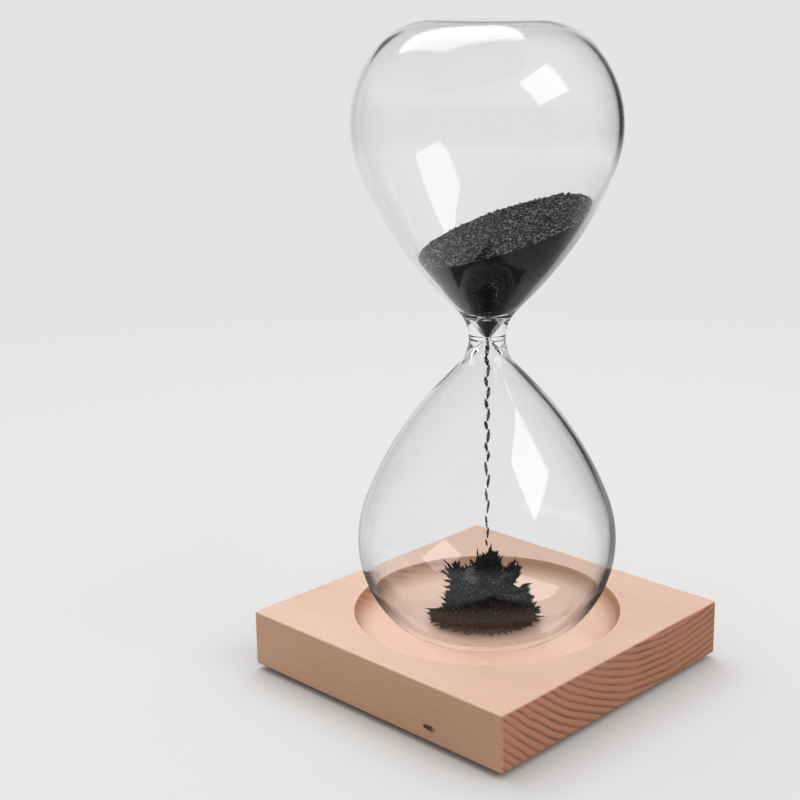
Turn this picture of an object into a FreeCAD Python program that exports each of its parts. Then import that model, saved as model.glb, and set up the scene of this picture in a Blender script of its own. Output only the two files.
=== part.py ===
"""Magnetic hourglass: a flame-blown glass standing in the dish of a square beech block.

Iron powder runs from the upper bulb through the neck. A magnet hidden in the block
draws the fallen powder into a spiky, stepped cone on the floor of the lower bulb.
Millimetres. The origin is the centre of the footprint on the table, +Z is up, and the
block's grain runs along X.
"""

import FreeCAD
import Part
import math
import os

# Block
BLOCK_SIDE = 80.0
BLOCK_THICKNESS = 13.5
BLOCK_CORNER_RADIUS = 0.8
BLOCK_EDGE_RADIUS = 0.5
DISH_RADIUS = 32.5
DISH_DEPTH = 5.0
DISH_WALL_RADIUS = 5.5
DISH_RIM_BREAK = 0.3

# Feet
FOOT_HEIGHT = 1.5
FOOT_RADIUS = 4.0
FOOT_EDGE_RADIUS = 0.6
FOOT_INSET = 10.0

# Magnet, in a pocket that opens on the block's underside
MAGNET_RADIUS = 10.0
MAGNET_THICKNESS = 5.0
MAGNET_EDGE_BREAK = 0.3
COVER_RADIUS = 12.5
COVER_THICKNESS = 1.1
POCKET_CLEARANCE = 0.1

# Glass: both bulbs have the same outline, mirrored at the neck
GLASS_HEIGHT = 145.0
BULB_RADIUS = 31.0
GLASS_WALL = 1.2
END_FLAT_RADIUS = 12.2
END_CORNER_RADIUS = 16.3
END_CORNER_ANGLE = 50.0
SHOULDER_ANGLE = 111.0
FLANK_RADIUS = 88.0
FLANK_ANGLE = 133.7
WAIST_RADIUS = 4.3
ORIFICE_RADIUS = 0.65
BORE_TOP = 0.7
THROAT_RADIUS = 2.9
THROAT_TOP = 5.5
THROAT_SHOULDER = 6.4
SEAT_GAP = 0.05

# Powder
POWDER_GAP = 0.05
GRAIN_PLUG_RADIUS = 0.45
PLUG_GAP = 0.08
CHARGE_HEIGHT = 24.1
CHARGE_SLOPE = 18.3
CHARGE_SLOPE_BEARING = 56.0
STREAM_RADIUS = 0.45
STREAM_THIN_RADIUS = 0.28
STREAM_WAVES = 9

# Iron cone: heights are above the inner floor of the lower bulb
SKIRT_HEIGHT = 5.8
SKIRT_RADIUS = 14.5
MIDDLE_HEIGHT = 12.4
MIDDLE_RADIUS = 12.6
RING_HEIGHT = 15.0
RING_RADIUS = 8.8
CROWN_HEIGHT = 19.3
CROWN_RADIUS = 4.0
NEEDLE_TIP_RADIUS = 0.12
TIER_GAP = 0.05

# Each tier's packed core, as (radius, height) from its foot up
MIDDLE_FOOT = SKIRT_HEIGHT + TIER_GAP
CROWN_FOOT = MIDDLE_HEIGHT + TIER_GAP
SKIRT_CORE = [(0, 0), (10.0, 0), (11.0, 1.4), (9.8, 3.6), (8.6, SKIRT_HEIGHT), (0, SKIRT_HEIGHT)]
MIDDLE_CORE = [(0, MIDDLE_FOOT), (9.0, MIDDLE_FOOT), (9.4, 8.0), (8.0, 10.6),
               (6.8, MIDDLE_HEIGHT), (0, MIDDLE_HEIGHT)]
CROWN_CORE = [(0, CROWN_FOOT), (6.4, CROWN_FOOT), (5.4, 13.2), (3.4, 14.2), (3.0, 16.0),
              (1.6, 17.6), (0, 17.6)]

# Each ring of spikes: how many, (radius, height) at root and tip, thickness, raggedness
SKIRT_LOW_SPIKES = (22, (9.0, 1.6), (SKIRT_RADIUS, 1.8), 1.1, 0.12)
SKIRT_HIGH_SPIKES = (18, (8.0, 3.8), (SKIRT_RADIUS - 1.5, 4.4), 1.0, 0.12)
MIDDLE_SPIKES = (20, (7.2, 8.2), (MIDDLE_RADIUS, 9.4), 1.1, 0.14)
CROWN_TUFTS = (11, (5.0, 13.3), (RING_RADIUS, RING_HEIGHT), 0.8, 0.18)
CROWN_BUNCH = (7, (1.4, 15.4), (CROWN_RADIUS, 18.2), 0.7, 0.2)
CROWN_POINT_ROOT = 16.6
CROWN_POINT_THICKNESS = 0.7

# Worked-out heights
BLOCK_TOP = FOOT_HEIGHT + BLOCK_THICKNESS
DISH_FLOOR = BLOCK_TOP - DISH_DEPTH
GLASS_BOTTOM = DISH_FLOOR + SEAT_GAP
HALF_GLASS = GLASS_HEIGHT / 2
NECK_HEIGHT = GLASS_BOTTOM + HALF_GLASS
CONE_FLOOR = GLASS_BOTTOM + GLASS_WALL + POWDER_GAP

UP = FreeCAD.Vector(0, 0, 1)
AXIS_POINT = FreeCAD.Vector(0, 0, 0)


def section_point(radius, height):
    """A point of a section drawn in the XZ plane."""
    return FreeCAD.Vector(radius, 0, height)


def section_line(start, end):
    return Part.LineSegment(section_point(*start), section_point(*end)).toShape()


def on_circle(centre, radius, degrees):
    """Radius and height of a point on a circle, its angle taken from straight up."""
    turn = math.radians(degrees)
    return centre[0] + radius * math.sin(turn), centre[1] + radius * math.cos(turn)


def section_arc(centre, radius, start, end):
    angles = (start, (start + end) / 2, end)
    points = [section_point(*on_circle(centre, radius, angle)) for angle in angles]
    return Part.Arc(*points).toShape()


def turned(edges):
    """The solid that a closed section makes when it turns about the vertical axis."""
    face = Part.Face(Part.Wire(Part.sortEdges(edges)[0]))
    return face.revolve(AXIS_POINT, UP, 360)


def turned_outline(points):
    """A turned solid whose section is straight between its points."""
    closed = points + points[:1]
    return turned([section_line(a, b) for a, b in zip(closed, closed[1:])])


def moved(shape, height):
    shape.translate(FreeCAD.Vector(0, 0, height))
    return shape


# ---------------------------------------------------------------- base


def dish_cutter():
    """The turned recess: a flat floor, a quarter-round wall and a broken rim."""
    wall_centre_height = DISH_FLOOR + DISH_WALL_RADIUS
    wall_rise = DISH_DEPTH - DISH_RIM_BREAK
    wall_end = 180 - math.degrees(math.acos((DISH_WALL_RADIUS - wall_rise) / DISH_WALL_RADIUS))
    reach = on_circle((0, 0), DISH_WALL_RADIUS, wall_end)[0]
    floor_radius = DISH_RADIUS - DISH_RIM_BREAK - reach
    centre = (floor_radius, wall_centre_height)
    wall_top = on_circle(centre, DISH_WALL_RADIUS, wall_end)
    above = BLOCK_TOP + DISH_DEPTH
    return turned([
        section_line((0, DISH_FLOOR), (floor_radius, DISH_FLOOR)),
        section_arc(centre, DISH_WALL_RADIUS, 180, wall_end),
        section_line(wall_top, (DISH_RADIUS, BLOCK_TOP)),
        section_line((DISH_RADIUS, BLOCK_TOP), (DISH_RADIUS, above)),
        section_line((DISH_RADIUS, above), (0, above)),
        section_line((0, above), (0, DISH_FLOOR)),
    ])


def magnet_pocket():
    """A stepped blind hole: the wide step takes the cover, the narrow one the magnet."""
    magnet_hole = MAGNET_RADIUS + POCKET_CLEARANCE
    cover_hole = COVER_RADIUS + POCKET_CLEARANCE
    step = FOOT_HEIGHT + COVER_THICKNESS
    ceiling = step + MAGNET_THICKNESS + POCKET_CLEARANCE
    return turned_outline([(0, 0), (cover_hole, 0), (cover_hole, step), (magnet_hole, step),
                           (magnet_hole, ceiling), (0, ceiling)])


def upright_edges(shape):
    return [edge for edge in shape.Edges if abs(edge.BoundBox.ZLength - BLOCK_THICKNESS) < 0.01]


def flat_edges(shape):
    return [edge for edge in shape.Edges if edge.BoundBox.ZLength < 0.01]


def base_block():
    corner = FreeCAD.Vector(-BLOCK_SIDE / 2, -BLOCK_SIDE / 2, FOOT_HEIGHT)
    block = Part.makeBox(BLOCK_SIDE, BLOCK_SIDE, BLOCK_THICKNESS, corner)
    block = block.makeFillet(BLOCK_CORNER_RADIUS, upright_edges(block))
    block = block.makeFillet(BLOCK_EDGE_RADIUS, flat_edges(block))
    return block.cut([dish_cutter(), magnet_pocket()])


def base_magnet():
    """A disc magnet with its edges broken."""
    disc = Part.makeCylinder(MAGNET_RADIUS, MAGNET_THICKNESS,
                             FreeCAD.Vector(0, 0, FOOT_HEIGHT + COVER_THICKNESS))
    return disc.makeChamfer(MAGNET_EDGE_BREAK, flat_edges(disc))


def magnet_cover():
    """The felt disc that closes the pocket, level with the block's underside."""
    return Part.makeCylinder(COVER_RADIUS, COVER_THICKNESS, FreeCAD.Vector(0, 0, FOOT_HEIGHT))


def foot(x_side, y_side):
    """One stick-on bumper under a corner of the block."""
    reach = BLOCK_SIDE / 2 - FOOT_INSET
    disc = Part.makeCylinder(FOOT_RADIUS, FOOT_HEIGHT,
                             FreeCAD.Vector(x_side * reach, y_side * reach, 0))
    lower_rim = [edge for edge in flat_edges(disc) if edge.BoundBox.ZMax < 0.01]
    return disc.makeFillet(FOOT_EDGE_RADIUS, lower_rim)


# ---------------------------------------------------------------- glass


def bulb_centres():
    """Centres of the corner, shoulder and flank arcs, and the shoulder's radius.

    Heights are above the neck. The three arcs run into each other without a kink, and
    the shoulder arc is the one that reaches the bulb's full radius.
    """
    turn = math.sin(math.radians(END_CORNER_ANGLE))
    corner = (END_FLAT_RADIUS, HALF_GLASS - END_CORNER_RADIUS)
    shoulder_radius = (BULB_RADIUS - END_FLAT_RADIUS - END_CORNER_RADIUS * turn) / (1 - turn)
    shoulder = on_circle(corner, END_CORNER_RADIUS - shoulder_radius, END_CORNER_ANGLE)
    flank = on_circle(shoulder, shoulder_radius - FLANK_RADIUS, SHOULDER_ANGLE)
    return corner, shoulder, flank, shoulder_radius


def bulb_arcs(inset, flank_end):
    """The upper bulb's outline from the end flat to the foot of the flank arc."""
    corner, shoulder, flank, shoulder_radius = bulb_centres()
    end = HALF_GLASS - inset
    edges = [
        section_line((0, end), (END_FLAT_RADIUS, end)),
        section_arc(corner, END_CORNER_RADIUS - inset, 0, END_CORNER_ANGLE),
        section_arc(shoulder, shoulder_radius - inset, END_CORNER_ANGLE, SHOULDER_ANGLE),
        section_arc(flank, FLANK_RADIUS - inset, SHOULDER_ANGLE, flank_end),
    ]
    return edges, on_circle(flank, FLANK_RADIUS - inset, flank_end)


def bulb_outside():
    """Outside of the upper bulb: the flank runs straight into the rounded waist."""
    edges, flank_foot = bulb_arcs(0, FLANK_ANGLE)
    slope = math.radians(FLANK_ANGLE - 90)
    cone_radius = flank_foot[0] - math.tan(slope) * flank_foot[1]
    waist_arc = (WAIST_RADIUS - cone_radius) / (1 / math.cos(slope) - 1)
    centre = (WAIST_RADIUS + waist_arc, 0)
    waist_top = on_circle(centre, -waist_arc, FLANK_ANGLE)
    edges.append(section_line(flank_foot, waist_top))
    edges.append(section_arc(centre, -waist_arc, FLANK_ANGLE, 90))
    return edges


def wide_cone(inset, bore):
    """Outline edges down the flank arc, and its foot.

    The wall thickens towards the neck: the inner flank leaves its arc a little early, on
    the tangent that would meet the top edge of a bore of this radius.
    """
    flank = bulb_centres()[2]
    across, down = bore - flank[0], BORE_TOP - flank[1]
    bearing = math.degrees(math.atan2(across, down))
    flank_end = bearing - math.degrees(math.acos((FLANK_RADIUS - inset) / math.hypot(across, down)))
    return bulb_arcs(inset, flank_end)


def plain_funnel(bore):
    """Inside of the lower bulb: its cone runs straight on to the bore."""
    edges, flank_foot = wide_cone(GLASS_WALL, bore)
    edges.append(section_line(flank_foot, (bore, BORE_TOP)))
    return edges


def throat_funnel(gap, bore):
    """Inside of the upper bulb, or a surface this far within it.

    Its cone stops at a shoulder of thick glass, and a narrow funnel leads on to the bore.
    """
    edges, flank_foot = wide_cone(GLASS_WALL + gap, bore)
    height = THROAT_SHOULDER + gap
    share = (height - BORE_TOP) / (flank_foot[1] - BORE_TOP)
    shoulder = (bore + (flank_foot[0] - bore) * share, height)
    throat = (THROAT_RADIUS - gap, THROAT_TOP + gap)
    edges.append(section_line(flank_foot, shoulder))
    edges.append(section_line(shoulder, throat))
    edges.append(section_line(throat, (bore, BORE_TOP)))
    return edges


def closed_bulb(inside):
    """A closed bulb with a thick neck and a fine bore, cut square where the two fuse."""
    closing = [
        section_line((ORIFICE_RADIUS, BORE_TOP), (ORIFICE_RADIUS, 0)),
        section_line((ORIFICE_RADIUS, 0), (WAIST_RADIUS, 0)),
        section_line((0, HALF_GLASS), (0, HALF_GLASS - GLASS_WALL)),
    ]
    return moved(turned(bulb_outside() + inside + closing), NECK_HEIGHT)


def upper_bulb():
    """The bulb that holds the charge, with its throat above the bore."""
    return closed_bulb(throat_funnel(0, ORIFICE_RADIUS))


def lower_bulb():
    """The same shape outside, turned over and fused to the upper bulb at the neck."""
    bulb = closed_bulb(plain_funnel(ORIFICE_RADIUS))
    return bulb.mirror(FreeCAD.Vector(0, 0, NECK_HEIGHT), UP)


# ---------------------------------------------------------------- powder


def throat_powder():
    """The plug of grains in the orifice, at the centre that the glass turns about."""
    return Part.makeSphere(GRAIN_PLUG_RADIUS, FreeCAD.Vector(0, 0, NECK_HEIGHT))


def bulb_room(bore, bottom):
    """The space that powder can fill in the upper bulb, from just above the orifice."""
    edges = throat_funnel(POWDER_GAP, bore)
    top = HALF_GLASS - GLASS_WALL - POWDER_GAP
    edges.append(section_line((bore, BORE_TOP), (bore, bottom)))
    edges.append(section_line((bore, bottom), (0, bottom)))
    edges.append(section_line((0, bottom), (0, top)))
    return turned(edges)


def powder_charge():
    """The powder still in the upper bulb, its surface banked up on one side."""
    bottom = GRAIN_PLUG_RADIUS + PLUG_GAP
    room = bulb_room(ORIFICE_RADIUS - POWDER_GAP, bottom)
    reach = 2 * BULB_RADIUS
    below = Part.makeBox(2 * reach, 2 * reach, reach, FreeCAD.Vector(-reach, -reach, -reach))
    below.rotate(AXIS_POINT, FreeCAD.Vector(0, 1, 0), -CHARGE_SLOPE)
    below.rotate(AXIS_POINT, UP, CHARGE_SLOPE_BEARING)
    return moved(room.common(moved(below, CHARGE_HEIGHT)), NECK_HEIGHT)


def powder_stream():
    """The falling thread of grains: it swells and thins on its way down."""
    top = NECK_HEIGHT - GRAIN_PLUG_RADIUS - PLUG_GAP
    bottom = CONE_FLOOR + CROWN_HEIGHT + TIER_GAP
    spans = 2 * STREAM_WAVES
    heights = [top + (bottom - top) * step / spans for step in range(spans + 1)]
    radii = [STREAM_THIN_RADIUS if step % 2 else STREAM_RADIUS for step in range(spans + 1)]
    return turned_outline([(0, top)] + list(zip(radii, heights)) + [(0, bottom)])


def needle(bearing, root, tip, thickness):
    """A tapering spike from one (radius, height) to another, at a compass bearing."""
    turn = math.radians(bearing)
    outward = FreeCAD.Vector(math.cos(turn), math.sin(turn), 0)
    start = outward * root[0] + UP * (CONE_FLOOR + root[1])
    end = outward * tip[0] + UP * (CONE_FLOOR + tip[1])
    along = end - start
    return Part.makeCone(thickness, NEEDLE_TIP_RADIUS, along.Length, start, along)


def needle_ring(count, root, tip, thickness, ragged):
    """A ring of spikes. Every other one is shorter and lifted, by the ragged share."""
    spikes = []
    for place in range(count):
        short = place % 2
        reach = root[0] + (tip[0] - root[0]) * (1 - ragged * short)
        rise = tip[1] + (tip[0] - root[0]) * ragged * short
        bearing = 360 * (place + 0.17 * math.sin(3.1 * place)) / count
        spikes.append(needle(bearing, root, (reach, rise), thickness))
    return spikes


def iron_tier(core, spikes):
    """A tier of the iron cone: a turned core with spikes fused to it."""
    body = turned_outline([(radius, CONE_FLOOR + height) for radius, height in core])
    return body.fuse(spikes).removeSplitter()


def cone_skirt():
    """The lowest tier, splayed flat over the glass floor."""
    return iron_tier(SKIRT_CORE, needle_ring(*SKIRT_LOW_SPIKES) + needle_ring(*SKIRT_HIGH_SPIKES))


def cone_middle():
    """The dense middle tier."""
    return iron_tier(MIDDLE_CORE, needle_ring(*MIDDLE_SPIKES))


def cone_crown():
    """The top tier: a ring of upright tufts about a taller bunch at the centre."""
    point = needle(0, (0, CROWN_POINT_ROOT), (0, CROWN_HEIGHT), CROWN_POINT_THICKNESS)
    return iron_tier(CROWN_CORE, needle_ring(*CROWN_TUFTS) + needle_ring(*CROWN_BUNCH) + [point])


# ---------------------------------------------------------------- output


def all_parts():
    parts = {
        "base_block": base_block(),
        "base_magnet": base_magnet(),
        "magnet_cover": magnet_cover(),
        "upper_bulb": upper_bulb(),
        "lower_bulb": lower_bulb(),
        "throat_powder": throat_powder(),
        "powder_charge": powder_charge(),
        "powder_stream": powder_stream(),
        "cone_skirt": cone_skirt(),
        "cone_middle": cone_middle(),
        "cone_crown": cone_crown(),
    }
    corners = {"front_left": (-1, -1), "front_right": (1, -1), "back_left": (-1, 1),
               "back_right": (1, 1)}
    for name, sides in corners.items():
        parts["foot_" + name] = foot(*sides)
    return parts


os.makedirs("parts", exist_ok=True)
for node, shape in all_parts().items():
    shape.exportStep("parts/" + node + ".step")
    print(node, shape.ShapeType, "solids", len(shape.Solids), "valid", shape.isValid(),
          "volume", round(shape.Volume, 2))
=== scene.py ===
"""Looks of the magnetic hourglass: beech block, blown glass, black iron powder.

Metres, in the row frame: origin under the block's centre, +Z up, the block's grain along X.
"""

import bpy
import itertools
import math
import random
from mathutils import Matrix, Vector, noise


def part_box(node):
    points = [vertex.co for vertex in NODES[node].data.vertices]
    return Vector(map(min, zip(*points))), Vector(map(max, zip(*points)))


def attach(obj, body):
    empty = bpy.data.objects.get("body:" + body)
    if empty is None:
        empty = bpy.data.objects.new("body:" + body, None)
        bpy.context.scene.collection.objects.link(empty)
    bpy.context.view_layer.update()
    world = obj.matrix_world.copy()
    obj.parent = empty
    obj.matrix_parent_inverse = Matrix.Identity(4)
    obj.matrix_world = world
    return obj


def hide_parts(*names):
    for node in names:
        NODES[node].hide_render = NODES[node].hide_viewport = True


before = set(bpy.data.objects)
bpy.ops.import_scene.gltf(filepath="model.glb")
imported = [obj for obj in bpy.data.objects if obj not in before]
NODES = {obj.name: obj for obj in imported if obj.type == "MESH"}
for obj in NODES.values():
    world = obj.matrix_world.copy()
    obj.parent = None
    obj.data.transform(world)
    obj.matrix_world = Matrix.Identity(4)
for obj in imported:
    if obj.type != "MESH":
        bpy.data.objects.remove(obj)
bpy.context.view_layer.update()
MM = 0.001
TURN = 2 * math.pi

# Directions as seen by the viewer, who stands off the block's front right corner.
VIEW_BEARING = math.radians(41.86)
UPWARD = Vector((0, 0, 1))
RIGHTWARD = Vector((math.cos(VIEW_BEARING), math.sin(VIEW_BEARING), 0))
FORWARD = Vector((math.sin(VIEW_BEARING), -math.cos(VIEW_BEARING), 0))
LEFT_BEARING = VIEW_BEARING + math.pi

# ---------------------------------------------------------------- sizes from the frame

BLOCK_LOW, BLOCK_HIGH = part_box("base_block")
BULB_LOW, BULB_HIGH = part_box("upper_bulb")
CHARGE_LOW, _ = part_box("powder_charge")
STREAM_LOW, STREAM_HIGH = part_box("powder_stream")
SKIRT_LOW, SKIRT_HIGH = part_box("cone_skirt")
MIDDLE_LOW, MIDDLE_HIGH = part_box("cone_middle")
CROWN_LOW, CROWN_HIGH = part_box("cone_crown")
_, COVER_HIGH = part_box("magnet_cover")
_, MAGNET_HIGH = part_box("base_magnet")
PLUG_LOW, PLUG_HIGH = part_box("throat_powder")

NECK = BULB_LOW.z
HALF_GLASS = BULB_HIGH.z - NECK
BULB_RADIUS = BULB_HIGH.x
HALF_SIDE = BLOCK_HIGH.x

# ---------------------------------------------------------------- shapes shared with the part

GLASS_WALL = 1.2 * MM
END_FLAT_RADIUS = 12.2 * MM
END_CORNER_RADIUS = 16.3 * MM
END_CORNER_ANGLE = math.radians(50)
SHOULDER_ANGLE = math.radians(111)
FLANK_RADIUS = 88 * MM
FLANK_ANGLE = math.radians(133.7)
WAIST_RADIUS = 4.3 * MM
ORIFICE_RADIUS = 0.65 * MM
BORE_TOP = 0.7 * MM
DISH_RADIUS = 32.5 * MM
DISH_DEPTH = 5 * MM
DISH_WALL_RADIUS = 5.5 * MM
RIM_BREAK = 0.35 * MM
CORNER_RADIUS = 0.8 * MM
EDGE_RADIUS = 0.5 * MM
POCKET_CLEARANCE = 0.1 * MM
CHARGE_HEIGHT = 24.1 * MM
CHARGE_SLOPE = math.tan(math.radians(18.3))
CHARGE_BEARING = math.radians(56)


# ---------------------------------------------------------------- mesh helpers


def mesh_object(name, points, faces, material, smooth=True):
    """A new piece in the scene, made of one material."""
    mesh = bpy.data.meshes.new(name)
    mesh.from_pydata([tuple(p) for p in points], [], faces)
    mesh.polygons.foreach_set("use_smooth", [smooth] * len(faces))
    mesh.update()
    mesh.materials.append(material)
    piece = bpy.data.objects.new(name, mesh)
    bpy.context.scene.collection.objects.link(piece)
    return piece


def placed(piece, body, slot, *replaced):
    """The piece rides on a body and stands for the named CAD nodes; its slot is not used."""
    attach(piece, body)
    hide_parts(*replaced)


def band_faces(start, rows, count):
    """Quads between rows of points, each row going once round."""
    faces = []
    for row in range(rows):
        a, b = start + row * count, start + (row + 1) * count
        for i in range(count):
            j = (i + 1) % count
            faces.append((a + i, a + j, b + j, b + i))
    return faces


def rings_to_mesh(rings, closed_start, closed_end):
    """Quads between rings of equal length, with a point at either end to close it."""
    count = len(rings[0])
    points = [p for ring in rings for p in ring]
    faces = band_faces(0, len(rings) - 1, count)
    if closed_start is not None:
        points.append(closed_start)
        hub = len(points) - 1
        faces += [((i + 1) % count, i, hub) for i in range(count)]
    if closed_end is not None:
        points.append(closed_end)
        hub = len(points) - 1
        last = (len(rings) - 1) * count
        faces += [(last + i, last + (i + 1) % count, hub) for i in range(count)]
    return points, faces


def turned_over(faces):
    """The faces seen from their other side."""
    return [tuple(reversed(face)) for face in faces]


def ray_at(bearing):
    """A level direction of length one at a bearing."""
    return Vector((math.cos(bearing), math.sin(bearing), 0))


def random_vector(rng):
    """A vector that points anywhere."""
    return Vector((rng.gauss(0, 1), rng.gauss(0, 1), rng.gauss(0, 1)))


def on_circle(centre, radius, angle):
    """Radius and height of a point on a circle, its angle taken from straight up."""
    return centre[0] + radius * math.sin(angle), centre[1] + radius * math.cos(angle)


def arc_points(centre, radius, start, end, count):
    """Points along an arc, without the last one."""
    return [on_circle(centre, radius, start + (end - start) * i / count) for i in range(count)]


# ---------------------------------------------------------------- node helpers


class Graph:
    """Short names for the shader nodes that the materials below share."""

    def __init__(self, tree):
        self.tree = tree

    def node(self, kind, inputs=None, **settings):
        """A new node with its settings made and its inputs fed."""
        made = self.tree.nodes.new(kind)
        for key, value in settings.items():
            setattr(made, key, value)
        for key, value in (inputs or {}).items():
            self.feed(made.inputs[key], value)
        return made

    def feed(self, socket, value):
        """Links a socket to another one, or gives it a value."""
        if isinstance(value, bpy.types.NodeSocket):
            self.tree.links.new(value, socket)
        else:
            socket.default_value = value

    def math(self, operation, a, b=0.0, clamp=False):
        made = self.node("ShaderNodeMath", {0: a, 1: b}, operation=operation, use_clamp=clamp)
        return made.outputs[0]

    def scaled(self, vector, scale):
        """The vector with each axis multiplied."""
        made = self.node("ShaderNodeVectorMath", {0: vector, 1: scale}, operation="MULTIPLY")
        return made.outputs[0]

    def split(self, vector):
        """The X, Y and Z outputs of a vector."""
        return self.node("ShaderNodeSeparateXYZ", {0: vector}).outputs

    def length(self, vector):
        """How long a vector is."""
        made = self.node("ShaderNodeVectorMath", {0: vector}, operation="LENGTH")
        return made.outputs["Value"]

    def along(self, vector, direction):
        """How far a vector reaches along a direction."""
        made = self.node("ShaderNodeVectorMath", {0: vector, 1: direction}, operation="DOT_PRODUCT")
        return made.outputs["Value"]

    def remap(self, value, start, end):
        """The value carried from one (low, high) range to another, and held inside it."""
        values = {0: value, 1: start[0], 2: start[1], 3: end[0], 4: end[1]}
        return self.node("ShaderNodeMapRange", values).outputs[0]

    def weighted(self, value, weight):
        """A value made weaker or stronger."""
        return self.math("MULTIPLY", value, weight)

    def blend(self, factor, first, second):
        """Two shaders mixed: the first at 0, the second at 1."""
        values = {0: factor, 1: first.outputs[0], 2: second.outputs[0]}
        return self.node("ShaderNodeMixShader", values).outputs[0]

    def noise(self, vector, scale, detail=3.0, roughness=0.5):
        values = {"Vector": vector, "Scale": scale, "Detail": detail, "Roughness": roughness}
        return self.node("ShaderNodeTexNoise", values).outputs["Fac"]

    def ramp(self, value, *stops):
        """A colour ramp from (position, grey or colour) pairs."""
        made = self.node("ShaderNodeValToRGB", {0: value})
        elements = made.color_ramp.elements
        while len(elements) < len(stops):
            elements.new(0.5)
        for element, (position, colour) in zip(elements, stops):
            element.position = position
            element.color = (colour,) * 3 + (1,) if isinstance(colour, (int, float)) else (*colour, 1)
        return made.outputs["Color"]

    def mix(self, factor, a, b):
        made = self.node("ShaderNodeMix", data_type="RGBA")
        self.feed(made.inputs[0], factor)
        self.feed(made.inputs[6], a if isinstance(a, bpy.types.NodeSocket) else (*a, 1))
        self.feed(made.inputs[7], b if isinstance(b, bpy.types.NodeSocket) else (*b, 1))
        return made.outputs[2]

    def bump(self, height, strength, distance):
        values = {"Height": height, "Strength": strength, "Distance": distance}
        return self.node("ShaderNodeBump", values).outputs["Normal"]


def new_material(name):
    """A material with an empty tree, its graph, its Principled shader and its output."""
    material = bpy.data.materials.new(name)
    material.use_nodes = True
    graph = Graph(material.node_tree)
    shader = material.node_tree.nodes["Principled BSDF"]
    output = material.node_tree.nodes["Material Output"]
    return material, graph, shader, output


def surface(g, shader, colour, roughness, relief):
    """Feeds a shader its colour, its roughness and its relief."""
    g.feed(shader.inputs["Base Color"], colour)
    g.feed(shader.inputs["Roughness"], roughness)
    g.feed(shader.inputs["Normal"], relief)


# ---------------------------------------------------------------- beech

# The material works in millimetres from the frame's origin, its colours are linear.
PITH_Y, PITH_Z = 22.0, 74.0
RING_SPACING = 1.75
RING_WANDER, RING_RIPPLE = 2.4, 0.22
KNOT_PLACE = (18.6, -40.0, 4.8)
PALE_BEECH, WARM_BEECH = (0.655, 0.405, 0.275), (0.585, 0.345, 0.222)
FIBRE_BROWN, FLECK_CREAM = (0.45, 0.245, 0.14), (0.72, 0.47, 0.33)
RING_BROWN, PORE_BROWN = (0.40, 0.215, 0.125), (0.33, 0.16, 0.085)
PALE_END, DARK_END, END_RING = (0.535, 0.226, 0.122), (0.465, 0.184, 0.097), (0.19, 0.070, 0.036)
KNOT_HALO, KNOT_HEART = (0.52, 0.27, 0.15), (0.07, 0.022, 0.012)
# Painted light and shade on the long grain: the top is painted paler and cooler, the sides darker, the
# dish palest.
TOP_PAINTED_LIGHT, SIDE_PAINTED_SHADE = (1.08, 1.16, 1.32), (0.93, 0.85, 0.76)
RIM_REACH, DISH_REACH, DISH_PAINTED_LIGHT = 33.5, 31.0, 1.12
MIRRORED_BLACK = (0.01, 0.01, 0.01)


def ring_lines(g, mm):
    """Late wood from 0 to 1: rings about the pith, each with a slow rise and a sharp fall."""
    axes = g.split(mm)
    wander = g.noise(g.scaled(mm, (0.006, 0.05, 0.05)), 1.0, 2.0)
    ripple = g.noise(g.scaled(mm, (0.03, 0.5, 0.5)), 1.0, 3.0)
    away_y = g.math("SUBTRACT", axes[1], PITH_Y)
    away_z = g.math("SUBTRACT", axes[2], PITH_Z)
    squares = g.math("ADD", g.math("MULTIPLY", away_y, away_y), g.math("MULTIPLY", away_z, away_z))
    distance = g.math("ADD", g.math("SQRT", squares), g.weighted(wander, RING_WANDER))
    distance = g.math("ADD", distance, g.weighted(ripple, RING_RIPPLE))
    phase = g.math("FRACT", g.math("DIVIDE", distance, RING_SPACING))
    late = g.ramp(phase, (0.0, 0.2), (0.12, 0.0), (0.42, 0.05), (0.64, 0.5), (0.80, 1.0),
                  (0.92, 1.0), (1.0, 0.2))
    uneven = g.noise(g.scaled(mm, (0.02, 0.12, 0.12)), 1.0, 2.0)
    return g.math("MULTIPLY", late, g.ramp(uneven, (0.3, 0.45), (0.65, 1.0)))


def long_grain(g, mm, fibre, dashes, late):
    """Colour of the top and the long sides: cloudy, with fibres, flecks, rings and pores."""
    cloud = g.noise(g.scaled(mm, (0.018, 0.05, 0.05)), 1.0, 2.0)
    flecks = g.noise(g.scaled(mm, (1.1, 2.2, 2.2)), 1.0, 3.0, 0.7)
    colour = g.mix(g.ramp(cloud, (0.3, 0.0), (0.7, 1.0)), PALE_BEECH, WARM_BEECH)
    for cover, strength, tint in ((g.ramp(fibre, (0.35, 1.0), (0.62, 0.0)), 0.24, FIBRE_BROWN),
                                  (g.ramp(flecks, (0.50, 0.0), (0.66, 1.0)), 0.32, FLECK_CREAM),
                                  (late, 0.08, RING_BROWN),
                                  (dashes, 0.30, PORE_BROWN)):
        colour = g.mix(g.weighted(cover, strength), colour, tint)
    return colour


def end_grain(g, mm, late):
    """Colour of the two sawn ends: darker, with open pores and clear rings."""
    pores = g.noise(g.scaled(mm, (3.0, 5.0, 5.0)), 1.0, 2.0)
    colour = g.mix(g.ramp(pores, (0.35, 0.0), (0.7, 1.0)), PALE_END, DARK_END)
    return g.mix(g.weighted(late, 0.85), colour, END_RING)


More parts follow.
